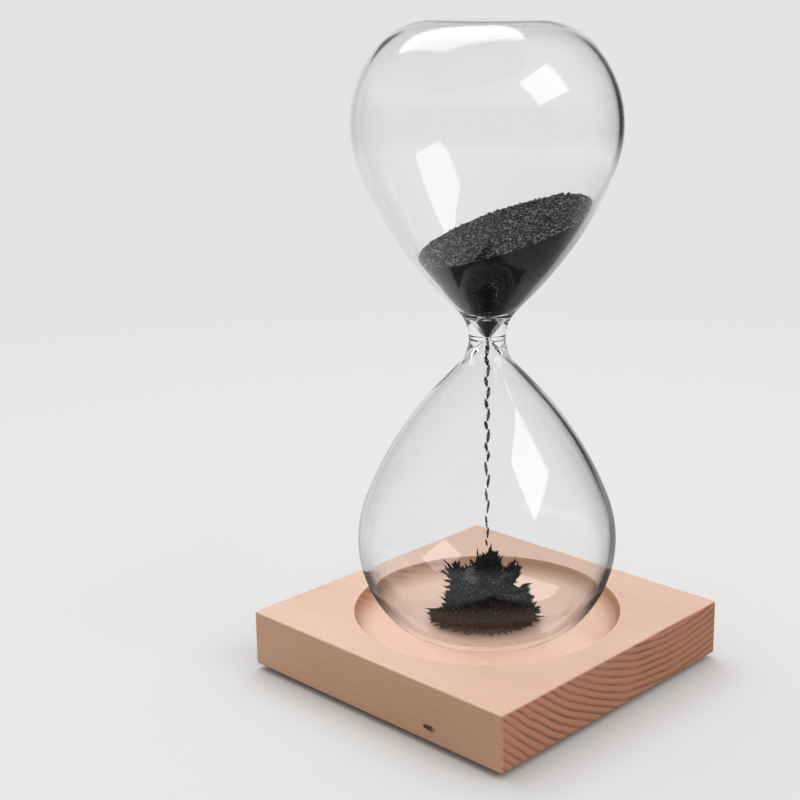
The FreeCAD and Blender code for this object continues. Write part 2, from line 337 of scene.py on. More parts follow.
def painted_light_by_face(g, mm, colour, upward):
    """Painted light and shade: the top painted lighter and cooler than the sides, and lightest inside
    the dish.
    """
    dished = g.remap(g.length(g.scaled(mm, (1, 1, 0))), (RIM_REACH, DISH_REACH), (1.0, DISH_PAINTED_LIGHT))
    gain = g.node("ShaderNodeCombineXYZ", {0: dished, 1: dished, 2: dished}).outputs[0]
    top = g.scaled(g.scaled(colour, TOP_PAINTED_LIGHT), gain)
    return g.mix(g.ramp(upward, (0.25, 0.0), (0.85, 1.0)), g.scaled(colour, SIDE_PAINTED_SHADE), top)


def knot(g, mm, colour):
    """A pin knot in the front face, drawn out along the grain."""
    offset = g.node("ShaderNodeVectorMath", {0: mm, 1: KNOT_PLACE}, operation="SUBTRACT").outputs[0]
    wobble = g.noise(g.scaled(mm, (0.7, 0.9, 1.1)), 1.0, 3.0)
    reach = g.math("ADD", g.length(g.scaled(offset, (0.5, 0.9, 1.25))), g.weighted(wobble, 2.2))
    heart = g.ramp(g.math("DIVIDE", reach, 4.0), (0.44, 1.0), (0.54, 0.0))
    halo = g.ramp(g.math("DIVIDE", reach, 9.0), (0.15, 0.35), (0.5, 0.0))
    return g.mix(heart, g.mix(halo, colour, KNOT_HALO), KNOT_HEART)


def mirrored_from_afar(g):
    """1 where glass well off the wood mirrors it, or where it is mirrored deep in the glass."""
    rays = g.node("ShaderNodeLightPath").outputs
    mirrored = g.math("GREATER_THAN", rays["Glossy Depth"], 0.5)
    far = g.remap(rays["Ray Length"], (7 * MM, 19 * MM), (0.0, 1.0))
    deep = g.math("GREATER_THAN", rays["Transmission Depth"], 2.5)
    return g.math("MULTIPLY", mirrored, g.math("MAXIMUM", far, deep))


def beech():
    """Pale beech, sawn so that its rings show as arcs on the two end-grain faces."""
    material, g, shader, _ = new_material("beech")
    place = g.node("ShaderNodeTexCoord").outputs
    mm = g.scaled(place["Object"], (1 / MM, 1 / MM, 1 / MM))
    normal = g.split(place["Normal"])
    late = ring_lines(g, mm)

    # fibres run along X; across them the pores show as short dark dashes
    fibre = g.noise(g.scaled(mm, (0.06, 2.6, 2.6)), 1.0, 4.0, 0.6)
    fine = g.noise(g.scaled(mm, (0.25, 9.0, 9.0)), 1.0, 2.0)
    dashes = g.noise(g.scaled(mm, (0.45, 4.2, 4.2)), 1.0, 1.0)
    dashes = g.ramp(dashes, (0.66, 0.0), (0.74, 1.0))

    faces = painted_light_by_face(g, mm, long_grain(g, mm, fibre, dashes, late), normal[2])
    sawn = g.math("POWER", g.math("ABSOLUTE", normal[0]), 3.0)
    colour = knot(g, mm, g.mix(sawn, faces, end_grain(g, mm, late)))
    # Painted reflection: where glass mirrors the wood from afar, or deep inside it, the wood is
    # painted near black.
    colour = g.mix(mirrored_from_afar(g), colour, g.mix(0.95, colour, MIRRORED_BLACK))
    relief = g.math("ADD", g.weighted(fine, 0.5), g.weighted(fibre, 0.5))
    relief = g.math("SUBTRACT", relief, g.weighted(dashes, 0.5))
    rough = g.remap(fibre, (0.0, 1.0), (0.40, 0.56))
    surface(g, shader, colour, rough, g.bump(relief, 0.35, 0.06 * MM))
    shader.inputs["Specular IOR Level"].default_value = 0.7
    return material


def rounded_square(half, corner, angle):
    """Where a ray from the centre meets a square of rounded corners."""
    c, s = math.cos(angle), math.sin(angle)
    x, y = abs(c), abs(s)
    edge = half / max(x, y)
    if min(x, y) * edge <= half - corner:
        return edge * c, edge * s
    centre = half - corner
    along = (x + y) * centre
    reach = along + math.sqrt(max(along * along - 2 * centre * centre + corner * corner, 0))
    return reach * c, reach * s


def square_ring(half, corner, height, angles):
    """A ring of points on a square, its corners never quite sharp."""
    return [(*rounded_square(half, max(corner, 0.05 * MM), a), height) for a in angles]


def round_ring(radius, height, angles):
    """A ring of points on a circle."""
    return [(radius * math.cos(a), radius * math.sin(a), height) for a in angles]


def block_angles():
    """Even steps, with extra ones where the sides turn the corner."""
    steps = [TURN * i / 256 for i in range(256)]
    corners = [TURN * (k + 0.5) / 4 + math.radians(0.11 * j)
               for k in range(4) for j in range(-14, 15)]
    return sorted(set(round(a, 6) for a in steps + corners))


def dish_section():
    """Radius and height of the dish, from its flat floor up its wall to the broken rim."""
    top, floor = BLOCK_HIGH.z, BLOCK_HIGH.z - DISH_DEPTH
    rise = DISH_DEPTH - RIM_BREAK
    turn = math.acos((DISH_WALL_RADIUS - rise) / DISH_WALL_RADIUS)
    floor_radius = DISH_RADIUS - RIM_BREAK - DISH_WALL_RADIUS * math.sin(turn)
    centre = (floor_radius, floor + DISH_WALL_RADIUS)
    section = [(floor_radius * i / 8, floor) for i in range(1, 8)]
    section += arc_points(centre, DISH_WALL_RADIUS, math.pi, math.pi - turn, 20)
    rim_centre = (DISH_RADIUS + RIM_BREAK, top - RIM_BREAK)
    section += arc_points(rim_centre, RIM_BREAK * 1.6, -0.42 * math.pi, 0, 6)
    section += [(rim_centre[0], top)]
    return [(min(r, rim_centre[0]), min(z, top)) for r, z in section]


def side_section():
    """Inset and height down the block's side, between its two rounded edges."""
    top, bottom = BLOCK_HIGH.z, BLOCK_LOW.z
    turns = [math.pi / 2 * step / 6 for step in range(7)]
    section = [(EDGE_RADIUS * (1 - math.sin(turn)), top - EDGE_RADIUS * (1 - math.cos(turn)))
               for turn in turns]
    section += [(0, top - EDGE_RADIUS + (bottom - top + 2 * EDGE_RADIUS) * step / 12)
                for step in range(1, 12)]
    return section + [(EDGE_RADIUS * (1 - math.cos(turn)), bottom + EDGE_RADIUS * (1 - math.sin(turn)))
                      for turn in turns]


def pocket_section():
    """Radius and height up the hole for the felt cover, then up the hole for the magnet."""
    cover_hole = COVER_HIGH.x + POCKET_CLEARANCE
    magnet_hole = MAGNET_HIGH.x + POCKET_CLEARANCE
    ceiling = MAGNET_HIGH.z + POCKET_CLEARANCE
    return [(cover_hole, BLOCK_LOW.z), (cover_hole, COVER_HIGH.z),
            (magnet_hole, COVER_HIGH.z), (magnet_hole, ceiling)]


def beech_block(material):
    """The block as one closed skin: dish, top, rounded edges, sides, underside, pocket."""
    angles = block_angles()
    dish, pocket = dish_section(), pocket_section()
    rings = [round_ring(radius, height, angles) for radius, height in dish]
    rings.append(square_ring(HALF_SIDE - 2 * EDGE_RADIUS, CORNER_RADIUS, BLOCK_HIGH.z, angles))
    rings += [square_ring(HALF_SIDE - inset, CORNER_RADIUS - inset, height, angles)
              for inset, height in side_section()]
    rings += [round_ring(radius, height, angles) for radius, height in pocket]
    points, faces = rings_to_mesh(rings, (0, 0, dish[0][1]), (0, 0, pocket[-1][1]))
    block = mesh_object("beech_block", points, turned_over(faces), material)
    block.data.set_sharp_from_angle(angle=math.radians(35))
    placed(block, "base", "beech", "base_block")


# ---------------------------------------------------------------- glass


def bulb_centres():
    """Centres of the corner, shoulder and flank arcs above the neck, and the shoulder radius."""
    turn = math.sin(END_CORNER_ANGLE)
    corner = (END_FLAT_RADIUS, HALF_GLASS - END_CORNER_RADIUS)
    shoulder_radius = (BULB_RADIUS - END_FLAT_RADIUS - END_CORNER_RADIUS * turn) / (1 - turn)
    shoulder = on_circle(corner, END_CORNER_RADIUS - shoulder_radius, END_CORNER_ANGLE)
    flank = on_circle(shoulder, shoulder_radius - FLANK_RADIUS, SHOULDER_ANGLE)
    return corner, shoulder, flank, shoulder_radius


def bulb_section(inset, flank_end):
    """One bulb's outline from the end flat to the foot of the flank arc, and that foot."""
    corner, shoulder, flank, shoulder_radius = bulb_centres()
    section = [(END_FLAT_RADIUS * i / 10, HALF_GLASS - inset) for i in range(1, 10)]
    section += arc_points(corner, END_CORNER_RADIUS - inset, 0, END_CORNER_ANGLE, 18)
    section += arc_points(shoulder, shoulder_radius - inset, END_CORNER_ANGLE, SHOULDER_ANGLE, 26)
    section += arc_points(flank, FLANK_RADIUS - inset, SHOULDER_ANGLE, flank_end, 24)
    foot = on_circle(flank, FLANK_RADIUS - inset, flank_end)
    return section, foot


def outside_section():
    """Outside of one bulb, down to the middle of the waist."""
    section, foot = bulb_section(0, FLANK_ANGLE)
    slope = FLANK_ANGLE - math.pi / 2
    cone_radius = foot[0] - math.tan(slope) * foot[1]
    waist_arc = (WAIST_RADIUS - cone_radius) / (1 / math.cos(slope) - 1)
    centre = (WAIST_RADIUS + waist_arc, 0)
    waist_top = on_circle(centre, -waist_arc, FLANK_ANGLE)
    section += [foot, ((foot[0] + waist_top[0]) / 2, (foot[1] + waist_top[1]) / 2)]
    return section + arc_points(centre, -waist_arc, FLANK_ANGLE, math.pi / 2, 16)


def inside_section(inset, bore):
    """Inside of one bulb, down its cone to the top of the bore."""
    flank = bulb_centres()[2]
    across, down = bore - flank[0], BORE_TOP - flank[1]
    open_angle = math.acos((FLANK_RADIUS - inset) / math.hypot(across, down))
    section, foot = bulb_section(inset, math.atan2(across, down) - open_angle)
    steps = 8
    cone = [(foot[0] + (bore - foot[0]) * i / steps, foot[1] + (BORE_TOP - foot[1]) * i / steps)
            for i in range(steps + 1)]
    return section + cone


# The upper bulb closes on a narrow funnel in thick glass: (radius, height above the neck), in
# millimetres. Above its shoulder the bulb's own cone goes on.
THROAT = [(5.3, 6.25), (4.5, 6.0), (3.7, 5.85), (3.05, 5.6), (2.75, 5.2), (2.6, 4.7),
          (2.3, 3.9), (1.8, 2.9), (1.15, 1.7), (0.65, 0.7)]
CONE_END = 6.6 * MM
GLASS_STEPS = 192


def throat_section(inset, bore):
    """Inside of the upper bulb: its cone, a shoulder, then the narrow funnel."""
    wide = [(radius, height) for radius, height in inside_section(inset, bore) if height > CONE_END]
    return wide + [(radius * MM, height * MM) for radius, height in THROAT]


def below_neck(section):
    """The mirror image of a bulb's section, from the neck down."""
    return [(radius, -height) for radius, height in reversed(section)]


def blown(angle, radius, height):
    """The small waves that hand blowing leaves, as a share of the radius."""
    place = Vector((math.cos(angle), math.sin(angle), height * 28))
    swell = min(radius / BULB_RADIUS, 1.0)
    return 1 + 0.006 * swell * noise.noise(place * 1.3 + Vector((3.1, 0, 0)))


def lathe(section, steps):
    """Rings of a turned skin about the glass's axis, with hand-blown waves."""
    rings = []
    for radius, height in section:
        ring = []
        for i in range(steps):
            angle = TURN * i / steps
            reach = radius * blown(angle, radius, height)
            ring.append((reach * math.cos(angle), reach * math.sin(angle), NECK + height))
        rings.append(ring)
    return rings


def clear_glass():
    """Clear blown glass. Lamps shine through it, so that what it holds is lit."""
    material, g, shader, output = new_material("clear_glass")
    place = g.node("ShaderNodeTexCoord").outputs["Object"]
    cords = g.noise(g.scaled(place, (60, 60, 25)), 1.0, 2.0)
    shader.inputs["Base Color"].default_value = (0.985, 0.99, 0.99, 1)
    shader.inputs["Transmission Weight"].default_value = 1.0
    shader.inputs["Roughness"].default_value = 0.0
    shader.inputs["IOR"].default_value = 1.47
    g.feed(shader.inputs["Normal"], g.bump(cords, 0.10, 0.6 * MM))
    clear = g.node("ShaderNodeBsdfTransparent", {"Color": (0.985, 0.988, 0.988, 1)})
    rays = g.node("ShaderNodeLightPath").outputs
    through = g.math("MAXIMUM", rays["Is Shadow Ray"], rays["Is Diffuse Ray"])
    g.feed(output.inputs["Surface"], g.blend(through, shader, clear))
    return material


def glass_vessel(material):
    """Both bulbs and the neck as one skin outside and one inside, as they are once fused."""
    # each bulb brings its own ring at the waist; the flat lower end needs no innermost ring
    upper = outside_section() + [(WAIST_RADIUS, 0)]
    outside = lathe(upper + below_neck(upper)[:-1], GLASS_STEPS)
    inside = lathe(throat_section(GLASS_WALL, ORIFICE_RADIUS)
                   + below_neck(inside_section(GLASS_WALL, ORIFICE_RADIUS)), GLASS_STEPS)
    top, bottom = NECK + HALF_GLASS, NECK - HALF_GLASS
    points, faces = rings_to_mesh(outside, (0, 0, top), (0, 0, bottom))
    more, within = rings_to_mesh(inside, (0, 0, top - GLASS_WALL), (0, 0, bottom + GLASS_WALL))
    start = len(points)
    faces = turned_over(faces) + [tuple(start + i for i in face) for face in within]
    vessel = mesh_object("glass_vessel", points + more, faces, material)
    placed(vessel, "glass", "glass", "upper_bulb", "lower_bulb")


# ---------------------------------------------------------------- iron powder


INNER_OUTLINE = throat_section(GLASS_WALL, ORIFICE_RADIUS)
CHARGE_GAP = 0.08 * MM
CHARGE_STEPS, BANK_ROWS, SIDE_ROWS = 320, 96, 120
LOOSE_GRAINS = 5200
DENT_PLACE = (16.0 * MM, 14.6 * MM)
DENT_DEPTH, DENT_RADIUS = 1.7 * MM, 1.9 * MM


def grey(tone, blue=1.0):
    """A grey as a colour, its blue raised where asked."""
    return tone, tone, tone * blue


def iron(name, base, painted_glint, bright_share, sheen):
    """Black iron grains: specks of different greys, the lightest of them painted glints."""
    material, g, shader, _ = new_material(name)
    place = g.node("ShaderNodeTexCoord").outputs
    specks = g.node("ShaderNodeTexVoronoi", {"Vector": place["Object"], "Scale": 2100.0})
    tone = g.node("ShaderNodeSeparateColor", {0: specks.outputs["Color"]}).outputs[0]
    dust = g.noise(place["Object"], 900.0, 3.0)
    bright = g.ramp(tone, (0.9 - bright_share, 0.0), (1.0, 1.0))
    colour = g.mix(bright, grey(base, 1.05), grey(painted_glint, 1.04))
    colour = g.mix(g.weighted(dust, 0.5), colour, grey(base * 0.4))

    # painted shade: what faces sideways or down, such as the sides against the glass, is painted near
    # black, so only what looks up seems to catch the light
    painted_side_shade = g.ramp(g.split(place["Normal"])[2], (0.0, 0.98), (0.35, 0.0))
    colour = g.mix(painted_side_shade, colour, grey(base * 0.5))
    rough = g.remap(tone, (0.0, 1.0), (0.75, 0.45))
    surface(g, shader, colour, rough, g.bump(g.math("ADD", dust, tone), 0.5, 0.1 * MM))
    shader.inputs["Specular IOR Level"].default_value = sheen
    return material


def inner_radius(height, gap):
    """Radius of the upper bulb's inside, less a gap, at a height above the neck."""
    for (r1, h1), (r2, h2) in zip(INNER_OUTLINE, INNER_OUTLINE[1:]):
        if h2 <= height <= h1:
            share = (height - h2) / (h1 - h2) if h1 > h2 else 0
            return r2 + (r1 - r2) * share - gap
    return ORIFICE_RADIUS - gap


def bank_height(x, y):
    """Height of the powder's banked surface above the neck."""
    return CHARGE_HEIGHT + CHARGE_SLOPE * (x * math.cos(CHARGE_BEARING) + y * math.sin(CHARGE_BEARING))


def bank_rim(angle):
    """Radius and height where the banked surface meets the glass, at a bearing."""
    low, high = 0.0, BULB_RADIUS
    for _ in range(40):
        radius = (low + high) / 2
        height = bank_height(radius * math.cos(angle), radius * math.sin(angle))
        if radius < inner_radius(height, CHARGE_GAP):
            low = radius
        else:
            high = radius
    return low, bank_height(low * math.cos(angle), low * math.sin(angle))


def grain_relief(x, y):
    """How far a grain or a hollow stands off the banked surface."""
    ripple = noise.noise(Vector((x, y, 0.4)) * 160) * 0.6 * MM
    grains = noise.cell(Vector((x, y, 0.0)) * 2200) * 0.30 * MM
    away = math.hypot(x - DENT_PLACE[0], y - DENT_PLACE[1]) / DENT_RADIUS
    return ripple + grains - DENT_DEPTH * math.exp(-away * away)


def bank_rings(rims):
    """Rings of the banked top, from near its middle out to the glass."""
    rings = []
    for row in range(1, BANK_ROWS + 1):
        share = row / BANK_ROWS
        ring = []
        for i, (radius, _) in enumerate(rims):
            angle = TURN * i / CHARGE_STEPS
            x, y = radius * share * math.cos(angle), radius * share * math.sin(angle)
            lift = grain_relief(x, y) * min(1, (1 - share) * 12)
            ring.append((x, y, NECK + bank_height(x, y) + lift))
        rings.append(ring)
    return rings


def pressed_rings(rims, bottom):
    """Rings of the powder's side, which follows the glass down to the thin foot."""
    rings = []
    for row in range(1, SIDE_ROWS + 1):
        share = (row / SIDE_ROWS) ** 0.9
        ring = []
        for i, (radius, rim) in enumerate(rims):
            angle = TURN * i / CHARGE_STEPS
            height = rim + (bottom - rim) * share
            reach = min(radius, inner_radius(height, CHARGE_GAP))
            ring.append((reach * math.cos(angle), reach * math.sin(angle), NECK + height))
        rings.append(ring)
    return rings


def charge_mesh():
    """The powder in the upper bulb: banked top, sides against the glass, a thin foot."""
    bottom = CHARGE_LOW.z - NECK
    rims = [bank_rim(TURN * i / CHARGE_STEPS) for i in range(CHARGE_STEPS)]
    rings = bank_rings(rims) + pressed_rings(rims, bottom)
    points, faces = rings_to_mesh(rings, (0, 0, NECK + bank_height(0, 0)), (0, 0, NECK + bottom))
    return points, turned_over(faces)


def grain_shape():
    """Corner directions and faces of a rough, twenty-sided grain."""
    gold = (1 + math.sqrt(5)) / 2
    corners = []
    for a in (-1, 1):
        for b in (-gold, gold):
            corners += [(0, a, b), (a, b, 0), (b, 0, a)]
    corners = [Vector(c).normalized() for c in corners]
    neighbours_within = 1.2
    faces = []
    for i, j, k in itertools.combinations(range(12), 3):
        a, b, c = corners[i], corners[j], corners[k]
        if max((a - b).length, (b - c).length, (a - c).length) < neighbours_within:
            outward = (b - a).cross(c - a).dot(a + b + c) > 0
            faces.append((i, j, k) if outward else (i, k, j))
    return corners, faces


GRAIN_CORNERS, GRAIN_FACES = grain_shape()


def add_grain(points, faces, place, size, rng):
    """One faceted grain, stretched and turned at random."""
    stretch = Vector((rng.uniform(0.7, 1.3), rng.uniform(0.7, 1.2), rng.uniform(0.6, 1.1)))
    turn = Matrix.Rotation(rng.uniform(0, TURN), 3, random_vector(rng))
    start = len(points)
    for corner in GRAIN_CORNERS:
        shaped = Vector([c * s for c, s in zip(corner, stretch)]) * size * rng.uniform(0.85, 1.15)
        points.append(place + turn @ shaped)
    faces += [tuple(start + i for i in face) for face in GRAIN_FACES]


def powder_charge(material):
    """The banked powder with loose grains over its surface."""
    rng = random.Random(11)
    points, faces = charge_mesh()
    points = [Vector(p) for p in points]
    smooth_count = len(faces)
    rim_reach = max(bank_rim(TURN * i / 24)[0] for i in range(24))
    made = 0
    while made < LOOSE_GRAINS:
        x, y = rng.uniform(-rim_reach, rim_reach), rng.uniform(-rim_reach, rim_reach)
        height = bank_height(x, y)
        size = rng.uniform(0.18, 0.40) * MM
        if math.hypot(x, y) > inner_radius(height, CHARGE_GAP) - 1.4 * size:
            continue
        place = Vector((x, y, NECK + height + grain_relief(x, y) + 0.2 * size))
        add_grain(points, faces, place, size, rng)
        made += 1
    piece = mesh_object("banked_powder", points, faces, material)
    shade = [i < smooth_count for i in range(len(faces))]
    piece.data.polygons.foreach_set("use_smooth", shade)
    placed(piece, "glass", "iron_powder", "powder_charge")


def throat_grains(material):
    """The grains that plug the orifice."""
    rng = random.Random(5)
    centre = (PLUG_LOW + PLUG_HIGH) / 2
    reach = (PLUG_HIGH.x - PLUG_LOW.x) / 2
    points, faces = [], []
    for _ in range(60):
        away = random_vector(rng).normalized()
        place = centre + away * reach * 0.68 * rng.random() ** 0.4
        add_grain(points, faces, place, 0.14 * MM, rng)
    piece = mesh_object("throat_grains", points, faces, material, smooth=False)
    placed(piece, "grain_plug", "iron_powder", "throat_powder")


def add_drop(points, faces, height, length, girth, offset, side, turn, count, rng):
    """One drawn-out clump of the thread: wide in its middle, leaning to one side."""
    for _ in range(count):
        share = rng.random()
        width = girth * math.sin(math.pi * (0.06 + 0.88 * share)) ** 1.2
        bearing, away = rng.uniform(0, TURN), width * math.sqrt(rng.random())
        lean = offset + (0.5 - share) * side * 0.4 * MM
        x = lean * math.cos(turn) + away * math.cos(bearing)
        y = lean * math.sin(turn) + away * math.sin(bearing)
        place = Vector((x, y, height - share * length))
        add_grain(points, faces, place, rng.uniform(0.09, 0.17) * MM, rng)


def powder_stream(material):
    """The falling thread: drawn-out clumps of grains, one after another, side to side."""
    rng = random.Random(23)
    points, faces = [], []
    top, bottom = STREAM_HIGH.z - 0.05 * MM, STREAM_LOW.z + 0.1 * MM
    height, side, turn = top, 1, 0.6
    while height > bottom + 1.2 * MM:
        fallen = (top - height) / (top - bottom)
        length = min(rng.uniform(2.0, 3.6) * MM, height - bottom)
        girth = (0.56 - 0.34 * fallen) * MM
        offset = side * 0.27 * MM * min(1, 8 * fallen)
        turn += rng.uniform(-0.4, 0.4)
        count = int(150 * (1 - 0.4 * fallen))
        add_drop(points, faces, height, length, girth, offset, side, turn, count, rng)
        height -= length * rng.uniform(0.88, 1.0) + rng.uniform(0, 0.7) * fallen * MM
        side = -side
    piece = mesh_object("falling_grains", points, faces, material, smooth=False)
    placed(piece, "glass", "iron_powder", "powder_stream")


# ---------------------------------------------------------------- iron cone

GLASS_FLOOR = SKIRT_LOW.z
CLUMP_SHARE = 0.12
CROWDED_RADIUS = 11
LOBE_BEARING = math.radians(38)
LOBE_HEIGHT = GLASS_FLOOR + 6.4 * MM
LOBE_REACH = 4.6 * MM


def clump(bearing, height, seed):
    """How far a tier bulges at a bearing, as the powder gathers in clumps."""
    place = Vector((2.2 * math.cos(bearing), 2.2 * math.sin(bearing), height * 260 + seed))
    return noise.noise(place)


def no_lobe(bearing, height):
    """For a tier that reaches as far on every side."""
    return 0


def side_lobe(bearing, height):
    """The middle tier runs out further on one side."""
    turn = (bearing - LOBE_BEARING + math.pi) % TURN - math.pi
    level = (height - LOBE_HEIGHT) / (1.6 * MM)
    return LOBE_REACH * math.exp(-(turn / 0.45) ** 2 - level * level)


def tier_outline(*corners):
    """Corners given as (radius, height over the glass's floor), in millimetres."""
    return [(radius * MM, GLASS_FLOOR + height * MM) for radius, height in corners]


class Heap:
    """A turned outline of packed powder, bulging in clumps and perhaps in a lobe."""

    def __init__(self, outline, seed, lobe=no_lobe):
        self.outline, self.seed, self.lobe = outline, seed, lobe

    def at(self, share):
        """Radius, height and outward slant on the outline, at a share of its length."""
        steps = [math.dist(p, q) for p, q in zip(self.outline, self.outline[1:])]
        along = share * sum(steps)
        for (r1, h1), (r2, h2), step in zip(self.outline, self.outline[1:], steps):
            if along <= step:
                break
            along -= step
        part = min(along / step, 1)
        slant = Vector(((h2 - h1), -(r2 - r1))).normalized()
        return r1 + (r2 - r1) * part, h1 + (h2 - h1) * part, slant

    def reach(self, radius, bearing, height, roughness=0.0):
        """The outline's radius with its bulges."""
        swell = 1 + CLUMP_SHARE * clump(bearing, height, self.seed) + roughness
        return radius * swell + self.lobe(bearing, height)


class Tier:
    """The mesh of one tier as it grows, and the heights that its spikes keep to."""

    def __init__(self, seed, lowest, highest):
        self.rng = random.Random(seed)
        self.lowest, self.highest = lowest, highest
        self.points, self.faces = [], []

    def core(self, heap):
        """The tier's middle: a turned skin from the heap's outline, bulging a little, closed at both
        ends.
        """
        rows, columns = 26, 60
        start = len(self.points)
        for row in range(rows + 1):
            radius, height, _ = heap.at(row / rows)
            for column in range(columns):
                ray = (math.cos(TURN * column / columns), math.sin(TURN * column / columns))
                grain = noise.noise(Vector((ray[0] * 9, ray[1] * 9, height * 1500 + heap.seed)))
                reach = heap.reach(radius, TURN * column / columns, height, 0.03 * grain)
                self.points.append(Vector((reach * ray[0], reach * ray[1], height)))
        last = start + rows * columns
        self.faces += band_faces(start, rows, columns)
        self.faces.append(tuple(last + k for k in range(columns)))
        self.faces.append(tuple(start + k for k in reversed(range(columns))))

    def needle(self, root, along, length, thickness):
        """A spike of stacked grains: five-sided, tapering, with a jagged outline."""
        side = along.orthogonal().normalized()
        other = along.cross(side)
        bend = (side * self.rng.gauss(0, 1) + other * self.rng.gauss(0, 1)) * 0.14 * length
        rows, corners = 5, 5
        start = len(self.points)
        for row in range(rows):
            share = row / rows
            width = thickness * (1 - share) ** 0.75 * (1.15 if row % 2 else 0.85)
            middle = root + along * length * share + bend * share * share
            for k in range(corners):
                angle = TURN * (k + 0.5 * row) / corners
                ragged = width * self.rng.uniform(0.6, 1.4)
                corner = middle + side * ragged * math.cos(angle) + other * ragged * math.sin(angle)
                self.points.append(corner)
        self.points.append(root + along * length + bend)
        tip = len(self.points) - 1
        last = start + (rows - 1) * corners
        self.faces += band_faces(start, rows - 1, corners)
        self.faces += [(last + k, last + (k + 1) % corners, tip) for k in range(corners)]
        self.faces.append(tuple(start + k for k in reversed(range(corners))))

    def spikes(self, heap, count, lengths, thicknesses, lift):
        """Spikes standing out of a heap, longer where the powder clumps, sizes in millimetres."""
        rng, made = self.rng, 0
        while made < count:
            radius, height, slant = heap.at(rng.random())
            if rng.random() * CROWDED_RADIUS * MM > radius:
                continue
            bearing = rng.uniform(0, TURN)
            ray = ray_at(bearing)
            root = ray * (heap.reach(radius, bearing, height) - 0.5 * MM) + UPWARD * height
            lean = ray * max(slant.x, 0.25) + UPWARD * (slant.y + lift)
            along = (lean + random_vector(rng) * 0.26).normalized()
            length = rng.uniform(*lengths) * MM * (1 + 0.9 * clump(bearing, height, heap.seed + 7))
            rise = max(along.z * length, self.lowest - root.z)
            along.z = min(rise, self.highest - root.z) / length
            self.needle(root, along.normalized(), length, rng.uniform(*thicknesses) * MM)
            made += 1

    def fingers(self, bearing, heights, reach, count, lengths):
        """Long spikes that fan out sideways from one part, sizes in millimetres."""
        rng = self.rng
        low, high = (GLASS_FLOOR + height * MM for height in heights)
        for _ in range(count):
            ray = ray_at(bearing + rng.gauss(0, 0.16))
            share = rng.random()
            root = ray * (reach * MM) + UPWARD * (low + (high - low) * share)
            along = ray + UPWARD * (0.9 * (share - 0.45)) + ray.cross(UPWARD) * rng.gauss(0, 0.35)
            length, thickness = rng.uniform(*lengths) * MM, rng.uniform(0.42, 0.62) * MM
            self.needle(root, along.normalized(), length, thickness)

    def tuft(self, turn, reach):
        """A small leaning bunch of spikes on the middle tier's rim."""
        outward = ray_at(VIEW_BEARING + math.radians(turn))
        heap = Heap(tier_outline((1.5, 11.2), (1.3, 12.0), (0.7, 12.6), (0.2, 12.9)), 20 + turn)
        start = len(self.points)
        self.core(heap)
        self.spikes(heap, 16, (1.4, 2.9), (0.32, 0.55), 0.8)
        for point in self.points[start:]:
            lean = (point.z - GLASS_FLOOR - 11 * MM) * 0.45
            point += outward * (reach * MM + lean) - RIGHTWARD * 0.9 * MM

    def shift(self, offset):
        """Moves all that has been made so far."""
        self.points = [point + offset for point in self.points]

    def finish(self, name, material, node):
        """The finished piece, which stands for the tier's CAD node."""
        piece = mesh_object(name, self.points, self.faces, material, smooth=False)
        placed(piece, "glass", "iron_powder", node)


def iron_skirt(material):
    """The splayed lowest tier, widest where it lies on the glass, flattened front to back."""
    tier = Tier(31, GLASS_FLOOR + 0.05 * MM, SKIRT_HIGH.z + 1.5 * MM)
    outline = tier_outline((10.8, 0.1), (11.6, 0.5), (10.9, 1.6), (9.7, 2.9), (8.4, 4.3),
                           (6.8, 5.5), (3, 5.7))
    sides = Heap(outline[:6], 3)
    tier.core(Heap(outline, 3))
    tier.spikes(sides, 520, (1.6, 3.5), (0.36, 0.62), -0.10)
    tier.spikes(sides, 500, (0.8, 1.7), (0.25, 0.45), -0.10)
    for turn, reach in ((0, 11.4), (0.32, 11.0), (0.75, 10.8), (math.pi, 11.2)):
        tier.fingers(LEFT_BEARING + turn, (0.5, 2.2), reach, 16, (2.2, 3.6))
    tier.points = [point - FORWARD * point.dot(FORWARD) * 0.24 for point in tier.points]
    tier.shift(RIGHTWARD * -0.5 * MM)
    for point in tier.points:
        point.z = max(point.z, tier.lowest)
    tier.finish("iron_skirt", material, "cone_skirt")


def iron_middle(material):
    """The dense middle tier, longer on one side."""
    tier = Tier(37, MIDDLE_LOW.z - 1.5 * MM, MIDDLE_HIGH.z + 0.4 * MM)
    outline = tier_outline((5.6, 4.6), (6.9, 6.0), (7.0, 8.2), (6.7, 10.4), (6.1, 11.9), (2, 12.2))
    sides = Heap(outline[:5], 8, side_lobe)
    tier.core(Heap(outline, 8, side_lobe))
    tier.spikes(sides, 1300, (0.7, 1.3), (0.2, 0.36), 0.1)
    tier.spikes(sides, 130, (1.6, 2.9), (0.34, 0.55), 0.1)
    tier.fingers(LOBE_BEARING, (3.8, 8.4), 9.6, 26, (2.0, 3.6))
    tier.fingers(LEFT_BEARING, (6.4, 10.2), 7.0, 9, (1.9, 3.2))
    tier.shift(RIGHTWARD * -1.2 * MM)
    tier.finish("iron_middle", material, "cone_middle")


def iron_crown(material):
    """The top tier: a bush of upright spikes at the centre, with tufts about it."""
    tier = Tier(41, CROWN_LOW.z - 1.5 * MM, CROWN_HIGH.z + 0.4 * MM)
    bunch = Heap(tier_outline((2.5, 11.8), (2.6, 13.4), (2.2, 15.0), (1.2, 16.3), (0.3, 16.7)), 12)
    tier.core(bunch)
    tier.spikes(bunch, 230, (1.2, 2.5), (0.3, 0.52), 0.75)
    tier.shift(RIGHTWARD * 0.55 * MM)
    for turn, reach in ((160, 6.5), (183, 6.7), (200, 6.5), (-18, 6.6), (3, 7.1), (20, 6.6),
                        (-92, 5.4), (78, 5.8), (102, 5.8)):
        tier.tuft(turn, reach)
    tier.finish("iron_crown", material, "cone_crown")


